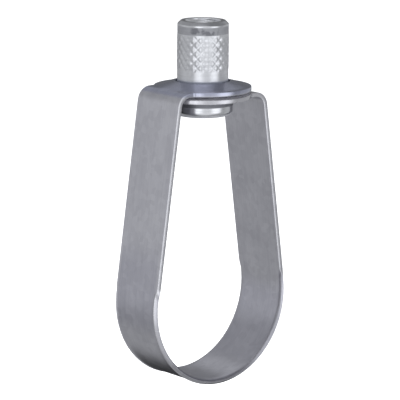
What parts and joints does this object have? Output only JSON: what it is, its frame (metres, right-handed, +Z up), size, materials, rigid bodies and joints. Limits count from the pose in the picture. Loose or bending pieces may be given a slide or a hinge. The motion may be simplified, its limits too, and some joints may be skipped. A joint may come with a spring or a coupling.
{
  "type": "swivel ring hanger",
  "caption": "Teardrop band hanger for one pipe: a folded steel strip with a flared cradle, hung from a knurled threaded nut that turns freely in its lapped paddle ends.",
  "frame": {"origin": "on the pipe's axis, at the middle of the strip's width", "axes": "+Z up the hanging rod, +Y along the pipe, +X towards the leg whose paddle lies underneath"},
  "size_m": [0.046, 0.0262, 0.0983],
  "materials": {
    "galvanised_strip": "galvanised strip, satin, faint spangle, bright rounded edges",
    "plated_nut": "zinc plated, turned and knurled"
  },
  "bodies": {
    "nut": {"swivel_nut": "plated_nut"},
    "band": {"band": "galvanised_strip"}
  },
  "joints": [
    {"name": "band_swivel", "type": "hinge", "parent": "nut", "child": "band", "pos_m": [0, 0, 0.0545], "axis": [0, 0, 1], "continuous": true}
  ]
}
